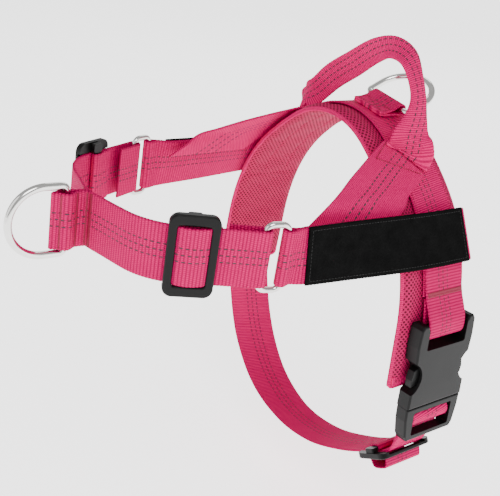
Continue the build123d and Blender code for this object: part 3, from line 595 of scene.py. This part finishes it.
# ---------------------------------------------------------------- saddle pad
def pad():
    stations = arch_line(SIDE_ANGLE, 46.4, SIDE_ANGLE, 46.4)
    mid, _ = over_back(stations, 3.0)
    s = np.r_[0, np.cumsum(np.linalg.norm(np.diff(mid, axis=0), axis=1))]
    top = s[len(s) // 2]
    x = np.linspace(-30.4, 30.4, 62)
    end = np.clip(np.minimum(s, s[-1] - s) / 9.0, 0, 1)[:, None] ** 0.5
    edge = np.clip((31.4 - np.abs(x)) / 7.0, 0, 1)[None] ** 0.5
    free = np.clip((x - 15.0) / 8.0, 0, 1)[None] + np.clip((-24.5 - x) / 4.0, 0, 1)[None] * 0.6
    ripple = 0.16 * np.sin(s[:, None] * 0.21 + x[None] * 0.09) + 0.10 * np.sin(s[:, None] * 0.57 - x[None] * 0.23)
    outer = 3.2 + 2.75 * edge * end + free * (0.9 + ripple) * edge * end
    seam = np.exp(-((np.abs(s - top) - 132.0) / 1.3) ** 2)[:, None]
    rib = np.exp(-((np.abs(x[None]) - 11.0) / 1.5) ** 2) * (np.abs(s[:, None] - top) < 130)
    puff = (0.75 + 2.0 * ripple) * edge * end
    inner = 2.6 - 2.6 * edge * end - puff + 0.9 * seam + 0.55 * rib
    points, uv, faces, kinds = [], [], [], []
    for i, (angle, drop, side) in enumerate(stations):
        for values, order in ((outer[i], range(len(x))), (inner[i], range(len(x) - 1, -1, -1))):
            for j in order:
                y, z = arch(values[j], angle, drop)
                points.append(girth(side * y, z, x[j]))
                uv.append((s[i], x[j]))
    m = 2 * len(x)
    for i in range(len(stations) - 1):
        for j in range(m):
            k = (j + 1) % m
            faces.append((i * m + j, i * m + k, (i + 1) * m + k, (i + 1) * m + j))
            kinds.append(0 if j < len(x) else 1)
    last = (len(stations) - 1) * m
    for j in range(len(x) - 1):
        faces.append((j, m - 1 - j, m - 2 - j, j + 1))
        faces.append((last + j, last + j + 1, last + m - 2 - j, last + m - 1 - j))
        kinds += [0, 0]
    nodes = ("pad_cover", "pad_foam", "pad_lining")
    piece = make("saddle_pad", points, faces, uv, MESH_OUT, "harness", nodes)
    piece.data.materials.append(MESH_IN)
    piece.data.polygons.foreach_set("material_index", kinds)


def pad_hems():
    """Folded hem with crossed stitches at each lower end."""
    for tag, hand in (("left", 1), ("right", -1)):
        x = np.linspace(-29.5, 29.5, 60)
        y, z = arch(5.3, SIDE_ANGLE, 41.4)
        lower_y, lower_z = arch(5.3, SIDE_ANGLE, 44.4)
        along = unit(girth(hand * (lower_y - y), lower_z - z))
        hem = Band(girth(hand * y, z, x), along, 7.2, 1.5, outward=girth(hand, 0.0))
        hem.build(f"pad_hem_{tag}", PLAIN, "harness", slot="pink_binding")
        cross = []
        for s in np.arange(1.0, 58.0, 3.6):
            cross.append(stitch_run(hem, [(s, -1.4), (s + 2.8, 1.4)], 4.0))
            cross.append(stitch_run(hem, [(s, 1.4), (s + 2.8, -1.4)], 4.0))
        sew(f"pad_hem_seam_{tag}", cross, "harness", radius=0.24)


def pad_binding():
    stations = arch_line(SIDE_ANGLE, 45.0, SIDE_ANGLE, 45.0)
    line, out = [], []
    for x, order in ((29.9, stations), (-29.9, stations[::-1])):
        edge, up = over_back(order, 3.0, x)
        line.append(edge)
        out.append(up)
        turn = np.linspace(0, math.pi, 14)[1:-1]
        down = unit(edge[-1] - edge[-2])
        across = np.sign(x) * np.cos(turn) * np.clip(27.2 + 2 * np.abs(np.cos(turn)) ** 0.2, 0, 29.2)
        bulge = 1.8 * np.clip(np.sin(turn) * 3, 0, 1)
        y, z = arch(3.0, *order[-1][:2])
        line.append(girth(order[-1][2] * y, z, across) + bulge[:, None] * down)
        out.append(np.repeat(up[-1:], len(turn), 0))
    line, out = np.vstack(line), np.vstack(out)
    along = unit(np.roll(line, -1, 0) - np.roll(line, 1, 0))
    side = unit(np.cross(along, out))
    turn = np.linspace(0, 2 * math.pi, 20, endpoint=False)
    wide = np.sign(np.cos(turn)) * np.abs(np.cos(turn)) ** 0.75 * 1.7
    high = np.sign(np.sin(turn)) * np.abs(np.sin(turn)) ** 0.75 * 1.75
    points = line[:, None] + side[:, None] * wide[None, :, None] + out[:, None] * high[None, :, None]
    n, m = points.shape[:2]
    run = np.r_[0, np.cumsum(np.linalg.norm(np.diff(line, axis=0), axis=1))]
    uv = np.stack([np.broadcast_to(run[:, None], (n, m)), np.broadcast_to(turn * 3.0, (n, m))], -1).reshape(-1, 2)
    faces = [(i * m + j, i * m + (j + 1) % m, (i + 1) % n * m + (j + 1) % m, (i + 1) % n * m + j)
             for i in range(n) for j in range(m)]
    make("pad_edge_tape", points.reshape(-1, 3), faces, uv, PLAIN, "harness", ("pad_binding",))


# ---------------------------------------------------------------- girth webbing and its end loop
def girth_straps():
    stations = arch_line(78.0, 0.0, SIDE_ANGLE, 10.0)
    centre, out = over_back(stations, 7.5, BELT_X)
    band = Band(even(centre, 1.1), FWD, outward=out[len(out) // 2])
    band.build("girth_strap", RIBBED, "harness", ("girth_webbing",))
    rows = [stitch_run(band, [(2, v), (band.s[-1] - 2, v)], 3.0) for v in (-17.0, 17.0)]
    rows.append(bar_tack(band, 5.0, -17.5, 17.5))
    sew("girth_strap_seams", rows, "harness", radius=0.22)
    front = flow([
        (-9.8, 43.5), (-8.4, 38.0), (-6.6, 31.0), (-3.4, 21.0), (0.6, 12.0), (2.9, 5.5), (3.4, 0.0), (3.1, -3.4),
        (1.9, -6.0), (0.0, -6.9), (-1.9, -6.0), (-2.9, -3.4), (-3.1, 3.0), (-3.9, 12.0), (-5.6, 22.0),
    ], 0.8)
    loop = Band(by_side(front), FWD)
    loop.face(5, LEFT)
    loop.build("buckle_loop", BASKET, "harness", ("socket_loop",))
    tack = np.interp(-25.5, -front[:40, 1], loop.s[:40])
    seams = [bar_tack(loop, tack, -17.6, 17.6, 2.6), bar_tack(loop, tack + 1.8, -17.6, 17.6, 2.0)]
    sew("buckle_loop_tack", seams, "harness", radius=0.3)


def belly():
    line = flow([
        (-110.6, -122.0), (-111.7, -128.5), (-112.3, -133.8), (-115.3, -169.0), (-107.5, -205.0), (-88.0, -245.0),
        (-58.0, -274.5), (-18.5, -287.6), (24.0, -283.0), (64.7, -264.6), slope_spot(-12), slope_spot(0),
        slope_spot(8), (115.6, -226.5),
    ], 1.1)
    start = even(line, 1.1)
    loops = np.array([
        (-6.3, -90.0), (-5.0, -83.8), (-0.9, -79.2), (3.1, -75.2), (4.0, -71.4), (2.7, -68.0), (-0.4, -66.8),
        (-3.4, -67.9), (-5.8, -71.5), (-7.7, -79.0), (-8.5, -88.0), (-9.3, -97.0), (-12.4, -106.0), (-19.0, -112.5),
    ])
    end = np.stack(beside_buckle(loops), 1)
    whole = flow(np.vstack([start[:-8:6], end]), 0.9)
    run = np.r_[0, np.cumsum(np.linalg.norm(np.diff(whole, axis=0), axis=1))]
    twist = np.radians(16) * np.interp(run, (0, 18, 50, 120, 210), (0, 0.2, 1, 1, 0))[:, None]
    facing = unit(np.cross(np.gradient(girth(whole[:, 0], whole[:, 1]), axis=0), FWD))
    band = Band(girth(whole[:, 0], whole[:, 1], BELT_X), np.cos(twist) * FWD + np.sin(twist) * facing)
    band.face(len(start) // 2, -UP)
    piece = band.build("belly_webbing", RIBBED, None, ("belly_strap", "belly_loop"))
    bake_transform(piece)
    seams = [bar_tack(band, 6.0, -17.5, 17.5), bar_tack(band, 9.5, -17.5, 17.5)]
    sew("belly_webbing_tack", seams, "harness", radius=0.28)


# ---------------------------------------------------------------- chest loop
def chest_side(side):
    tag = "left" if side > 0 else "right"
    back = [beside_chest(r, -2 * WRAP) for r in (22, 14, 7, 1)]
    turns = np.linspace(0.35, math.pi - 0.35, 7)
    round_bar = [beside_chest(-WRAP * math.sin(t), -WRAP - WRAP * math.cos(t)) for t in turns]
    ahead = [beside_chest(r, 0) for r in (1, 10, 20, 30, 40, CHEST_STRAIGHT)]
    u0, v0 = ahead[-1]
    cu, cv = u0 + CHEST_BEND_R * math.sin(HEADING), v0 - CHEST_BEND_R * math.cos(HEADING)
    bend = []
    for bent in (9, 18, 27, 36, 45, 52):
        a = math.radians(64 - bent)
        bend.append((cu + CHEST_BEND_R * math.cos(a), cv + CHEST_BEND_R * math.sin(a)))
    line = flow(back + round_bar + ahead + bend + [(80.6, 19.0), (83.3, 7.0), (84.3, 2.0)], 0.9)
    band = Band(chest(line[:, 0], line[:, 1], side), CHEST_N)
    band.face(len(line) // 2, side * LEFT)
    band.build(f"breast_strap_{tag}", BASKET, "harness", (f"chest_strap_{tag}",))
    tack = bar_tack(band, band.s[-1] - 3.2, -17.8, 17.8, 3.4)
    sew(f"breast_strap_{tag}_seam", [tack], "harness", radius=0.3)
    along = math.cos(HEADING) * CHEST_U + side * math.sin(HEADING) * LEFT
    out = unit(-math.sin(HEADING) * CHEST_U + side * math.cos(HEADING) * LEFT)
    middle = chest(*beside_chest(SLIDER_AT, 0), side)
    axes = (along, out, CHEST_N)
    slider_cloth(f"breast_slider_{tag}", middle, axes, f"chest_slider_{tag}", f"chest_tail_{tag}", 4.6, -17.0)
    turn = math.cos(TURN) * CHEST_U + side * math.sin(TURN) * LEFT
    ring = rounded_box(15, 44, 5.0)
    wire = chest(0.0, RING_Y, side) + ring[:, :1] * turn + ring[:, 1:] * CHEST_N
    tube(f"side_ring_{tag}", wire, 2.0, f"link_ring_{tag}", f"link_ring_{tag}")


def slider_cloth(name, middle, axes, body, node, bulge, tongue):
    """Webbing over a slider's window, and the end sewn round its bar; axes are along, out and across."""
    along, out, across = axes

    def lay(spots):
        line = flow(spots, 0.8)
        return middle + line[:, :1] * along + line[:, 1:] * out

    lobe = [(-10.0, 1.5), (-9.3, 2.6), (-7.0, bulge - 1.1), (-3.2, bulge - 0.2), (1.5, bulge),
            (6.2, bulge - 0.9), (9.0, 2.4), (9.9, 1.4)]
    cover = Band(lay(lobe), across, WEB_W, 1.3, outward=out)
    cover.build(name + "_cover", BASKET, body)
    tail = [(tongue, -1.9), (tongue * 0.6, -1.9), (-5.0, -1.9), (-2.0, -1.8), (1.0, -1.8), (3.0, -2.4), (3.5, -3.6),
            (3.0, -4.9), (1.0, -5.4), (-2.0, -5.4), (-5.0, -4.5), (-7.5, -3.5), (tongue * 0.75, -3.35)]
    if abs(tongue) < 12:
        tail = [(7.8, -1.9)] + [(-x, y) for x, y in tail[2:10]] + [(6.0, -4.2), (7.8, -3.5)]
    band = Band(lay(tail), across, WEB_W, 1.3)
    band.build(name + "_tail", BASKET, body, (node,))


def rounded_box(length, height, radius, count=8):
    """Closed rounded rectangle, evenly drawn, centred."""
    points = []
    for cx, cy, start in ((1, 1, 0), (-1, 1, 90), (-1, -1, 180), (1, -1, 270)):
        for t in np.radians(np.linspace(start, start + 90, count)):
            points.append((cx * (length / 2 - radius) + radius * math.cos(t),
                           cy * (height / 2 - radius) + radius * math.sin(t)))
    points = np.array(points + points[:1])
    return even(points, 1.0)[:-1]


def leash_ring(name, bar, out, side, node):
    """D ring: a half-round bow on a straight bar; the body has the node's name."""
    half, depth, bend = 22.5, 36.0, 3.6
    bow = [(depth - half + half * math.cos(a), half * math.sin(a)) for a in np.radians(np.linspace(-90, 90, 40))]
    turn = np.radians(np.linspace(90, 0, 8))
    corner = [(bend - bend * math.cos(a), half - bend + bend * math.sin(a)) for a in turn]
    low = [(bend - bend * math.cos(a), -half + bend - bend * math.sin(a)) for a in turn[::-1]]
    line = even(np.array(bow + corner + low + bow[:1]), 1.0)[:-1]
    tube(name, bar + line[:, :1] * out + line[:, 1:] * side, 2.5, node, node, sides=24)


def breast_pleat():
    spots = [(82.8, 1.7), (86.0, 1.35), (89.5, 1.2), (92.6, 1.8), (95.5, 4.2), (98.5, 5.4), (101.4, 4.2),
             (103.6, 1.9), (105.8, 1.1), (107.2, 0.55)]
    line = flow(spots + [(107.7, 0.0)] + [(u, -v) for u, v in spots[::-1]], 0.7)
    band = Band(chest(line[:, 0], line[:, 1], 1), CHEST_N)
    band.face(4, LEFT)
    band.build("breast_fold", BASKET, "harness", ("front_pleat",))
    total = band.s[-1]
    seams = []
    for at in (2.0, 9.6, 21.8):
        for s in (at, total - at):
            seams.append(bar_tack(band, s, -17.8, 17.8, 1.6 if at > 3 else 3.0))
    sew("breast_fold_seams", seams, "harness", radius=0.28)
    leash_ring("breast_ring", chest(98.5, 0.0, 1), CHEST_U, CHEST_N, "front_ring")


# ---------------------------------------------------------------- side panels, labels and diagonal straps
PANEL = (
    (118.0, 89.6, -54.2, 8.0),
    (80.0, 92.6, -56.6, 15.0),
    (40.0, 96.2, -59.2, 23.0),
    (8.0, 98.4, -61.0, 27.5),
    (-24.8, 98.9, -62.6, 28.5),
)


def panel_line(out):
    """Stations along the left panel, out from its middle: centre, and the way across (up)."""
    rows = []
    for x, y, z, lean in PANEL:
        a = math.radians(lean)
        rows.append((x, y + out * math.cos(a), z + out * math.sin(a), 0, -math.sin(a), math.cos(a)))
    return rows


def mirror(points, side):
    return np.asarray(points, float) * v3(1, side, 1)


def side_panel(side):
    tag = "left" if side > 0 else "right"
    bar_u, bar_v = -BAR_RUN * math.cos(TURN), RING_Y - BAR_RUN * math.sin(TURN)
    wrap = []
    for t in np.linspace(-100, 100, 9):
        a = math.radians(t)
        wrap.append((*chest(bar_u + 3.3 * math.cos(a), bar_v + 3.3 * math.sin(a), 1), *CHEST_N))
    near_out = (*chest(-14.0, bar_v + 1.3, 1), *CHEST_N)
    near_in = (*chest(-14.0, bar_v - 1.0, 1), *CHEST_N)
    line = panel_line(-0.85)[::-1] + [near_in] + wrap + [near_out] + panel_line(0.85)
    line = flow(line, 1.0)
    band = Band(mirror(line[:, :3], side), mirror(line[:, 3:], side))
    band.face(len(line) - 20, side * LEFT)
    band.build(f"flank_strap_{tag}", BASKET, "harness", (f"side_panel_{tag}",))
    patch = flow(panel_line(2.75), 1.2)
    keep = patch[patch[:, 0] > -21.6]
    label = Band(mirror(keep[:, :3], side), mirror(keep[:, 3:], side), 38.9, 1.6)
    label.face(10, side * LEFT)
    label.build(f"label_loop_{tag}", LOOP, "harness", (f"label_patch_{tag}",), slot="loop_fabric")
    e, w = label.s[-1] - 2.6, 16.7
    box = [(2.6, -w), (e, -w), (e, w), (2.6, w), (2.6, -w)]
    seam = stitch_run(label, box, 2.4, height=0.0)
    sew(f"label_seam_{tag}", [seam], "harness", STITCH_BLACK, 0.16)


CREASE_ANGLE = 39.6
CREASE_BACK, CREASE_RISE = 0.87, 0.49
CREASE = girth(*arch(8.7, CREASE_ANGLE), 5.0)
OVER = ((55.0, 47.5), (42.0, 45.0), (25.0, 42.3), (15.0, 40.85), (5.0, 39.4), (-5.0, 38.0), (-15.0, 36.6),
        (-35.0, 33.0))


def lift_dir(angle):
    """Outward and upward directions on the left of the back."""
    a = math.radians(angle)
    return girth(math.sin(a), math.cos(a)), girth(-math.cos(a), math.sin(a))


def diagonal(side):
    """Wide strap from inside the panel up over the pad, cut off along the handle's crease."""
    tag = "left" if side > 0 else "right"
    rows = []
    inward = 6.1
    for x, up, lean in ((81.0, 10.5, math.radians(14.5)), (68.0, 20.0, math.radians(16.5))):
        share = (80 - x) / 40
        y = 92.6 + 3.6 * share - up * math.sin(lean) - inward * math.cos(lean)
        z = -56.6 - 2.6 * share + up * math.cos(lean) - inward * math.sin(lean)
        rows.append((x, y, z, -0.997, 0.08, -0.06))
    for x, angle in OVER:
        rows.append((*girth(*arch(9.5, angle), x), *-FWD))
    line = flow(rows, 1.1)
    across = mirror(line[:, 3:], side)
    band = Band(mirror(line[:, :3], side), across, 76.0)
    band.a = unit(across)
    band.n = unit(np.cross(np.gradient(band.c, axis=0), band.a))
    if (band.n[20] @ LEFT) * side < 0:
        band.n = -band.n
    points, faces, uv = band.mesh(columns=60)
    uv = np.stack([uv[:, 0] + 0.871 * uv[:, 1], 0.491 * uv[:, 1]], 1)
    nodes = (f"diagonal_strap_{tag}", f"handle_foot_{tag}")
    piece = make(f"diagonal_webbing_{tag}", points, faces, uv, RIBBED, "harness", nodes)
    along = lift_dir(CREASE_ANGLE)[1] * CREASE_RISE - FWD * CREASE_BACK
    solid = bmesh.new()
    solid.from_mesh(piece.data)
    place = mirror(CREASE + along * 2, side) * MM
    parts = solid.verts[:] + solid.edges[:] + solid.faces[:]
    cut = bmesh.ops.bisect_plane(
        solid, geom=parts, dist=1e-6, plane_co=place, plane_no=mirror(along, side), clear_outer=True
    )
    rim = [e for e in cut["geom_cut"] if isinstance(e, bmesh.types.BMEdge)]
    bmesh.ops.edgeloop_fill(solid, edges=rim)
    solid.to_mesh(piece.data)
    solid.free()
    foot = []
    for back in (1.0, 9.0, 17.0, 25.0, 30.0):
        angle = CREASE_ANGLE + back * 0.12
        out, rise = lift_dir(angle)
        centre = girth(*arch(10.3, angle), 5.0 + back * CREASE_BACK)
        foot.append((*centre, *np.cross(out, unit(rise * CREASE_RISE - FWD * CREASE_BACK))))
    foot = np.array(foot)
    patch = Band(mirror(foot[:, :3], side), mirror(foot[:, 3:], side), 37.0, 0.0)
    if patch.n[2] @ UP < 0:
        patch.n = -patch.n
    w = 16.5 if patch.a[2] @ mirror(foot[2, 3:], side) > 0 else -16.5
    triangle = stitch_run(patch, [(0.4, -w), (23.5, w * 0.92), (0.4, w * 1.06)], 2.0, height=0.1)
    sew(f"handle_seam_{tag}", [triangle], "harness", radius=0.4)


def handle():
    """Loop of webbing; a station is centre, across direction, width, thickness and curl."""
    legs = [
        (7.0, 58.6, -13.6, 0.75, -0.60, 0.25, 36.0, 1.0, 0.0),
        (5.0, 58.9, -10.7, 0.75, -0.60, 0.25, 36.0, 2.3, 0.0),
        (5.2, 59.6, -6.5, 0.75, -0.60, 0.22, 33.5, 2.0, 0.2),
        (5.8, 59.8, 2.0, 0.84, -0.50, 0.12, 28.0, 2.3, 1.2),
        (3.6, 59.4, 13.0, 0.93, -0.34, 0.08, 19.5, 3.0, 3.0),
        (1.2, 57.0, 25.0, 0.98, -0.12, 0.0, 14.0, 3.4, 4.0),
        (0.0, 51.0, 37.8, 0.97, 0.05, -0.15, 13.5, 3.4, 4.0),
        (0.0, 39.0, 52.0, 0.80, 0.08, -0.55, 15.0, 3.2, 2.0),
        (-0.4, 22.0, 55.4, 0.42, 0.20, -0.86, 16.5, 3.0, 0.6),
        (-0.4, 6.0, 49.6, 0.0, 0.52, -0.82, 18.5, 2.8, -0.4),
        (0.8, -14.0, 35.5, -0.24, 0.62, -0.74, 20.0, 2.6, -0.8),
        (3.4, -32.5, 21.5, -0.28, 0.65, -0.70, 20.5, 2.4, -0.8),
        (7.2, -45.0, 7.6, -0.30, 0.68, -0.66, 20.0, 2.2, -0.6),
        (10.2, -54.4, -0.4, 0.34, 0.85, -0.10, 25.0, 2.0, 0.0),
        (8.6, -59.2, -5.2, 0.72, 0.66, 0.14, 33.0, 2.0, 0.2),
        (5.0, -58.6, -11.0, 0.75, 0.60, 0.25, 36.0, 2.0, 0.0),
        (7.0, -58.6, -13.6, 0.75, 0.60, 0.25, 36.0, 1.0, 0.0),
    ]
    line = flow(legs, 0.9)
    band = Band(line[:, :3], line[:, 3:6], line[:, 6], line[:, 7])
    band.face(len(line) // 2, UP)
    curl = line[:, 8:]
    piece = band.build("handle_webbing", RIBBED, None, ("handle_loop",), lift=lambda s, v: -curl * (v / 10.0) ** 2)
    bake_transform(piece)


def top_tab():
    a = math.radians(8)
    out = girth(math.sin(a), math.cos(a))
    origin = girth(*arch(8.4, 8.0))
    across = np.cross(FWD, out)
    spots = flow([
        (5.0, 2.6), (1.0, 2.75), (-3.0, 3.3), (-8.5, 5.2), (-12.6, 7.5), (-15.2, 8.1), (-17.9, 6.9), (-18.9, 4.4),
        (-17.8, 2.1), (-14.5, 1.1), (-8.0, 0.95), (5.0, 0.9),
    ], 0.8)
    band = Band(origin + spots[:, :1] * FWD + spots[:, 1:] * out, across, 31.5)
    band.face(3, UP)
    band.build("ring_tab", RIBBED, "harness", ("top_tab",))
    box = [(1.8, -13.5), (1.8, 13.5), (10.5, 13.5), (10.5, -13.5), (1.8, -13.5)]
    runs = [stitch_run(band, corners, 2.2) for corners in (box, box[:3:2], box[1:4:2])]
    sew("ring_tab_seam", runs, "harness", radius=0.26)
    tilt = math.radians(62)
    ring_out = out * math.cos(tilt) - FWD * math.sin(tilt)
    leash_ring("back_ring", origin - 15.0 * FWD + 4.3 * out, ring_out, across, "top_ring")


pad()
pad_hems()
pad_binding()
girth_straps()
belly()
for hand in (1, -1):
    chest_side(hand)
    side_panel(hand)
    diagonal(hand)
breast_pleat()
handle()
top_tab()

slope = math.cos(SLOPE) * LEFT + math.sin(SLOPE) * UP
slope_out = math.sin(SLOPE) * LEFT - math.cos(SLOPE) * UP
slider_at = girth(*slope_spot(0), BELT_X)
slider_cloth("belly_slider", slider_at, (-slope, slope_out, FWD), "girth_slider", "girth_slider_tail", 12.5, -8.0)

for material, nodes in (
    (SLIDER, ("chest_slider_left", "chest_slider_right", "girth_slider")),
    (BUCKLE, ("buckle_socket", "buckle_plug", "plug_arm_rear", "plug_arm_front")),
):
    for node in nodes:
        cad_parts[node].data.materials.clear()
        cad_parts[node].data.materials.append(material)

# ---------------------------------------------------------------- floor
FLOOR_DROP = 0.045  # clears the belly strap when the buckle is pulled open
FLOOR_HALF = 40.0
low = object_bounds()[0][2] - FLOOR_DROP
corners = [(x * FLOOR_HALF, y * FLOOR_HALF, low) for x, y in ((-1, -1), (1, -1), (1, 1), (-1, 1))]
floor_data = bpy.data.meshes.new("floor")
floor_data.from_pydata(corners, [], [(0, 1, 2, 3)])
floor_graph = Graph("floor_paint")
floor_graph.paint((0.95, 0.95, 0.95, 1), 0.8)
floor_graph.shader.inputs["Emission Color"].default_value = (1, 1, 1, 1)
floor_graph.shader.inputs["Emission Strength"].default_value = 2.2
floor_data.materials.append(floor_graph.material)
floor = bpy.data.objects.new("floor", floor_data)
bpy.context.collection.objects.link(floor)
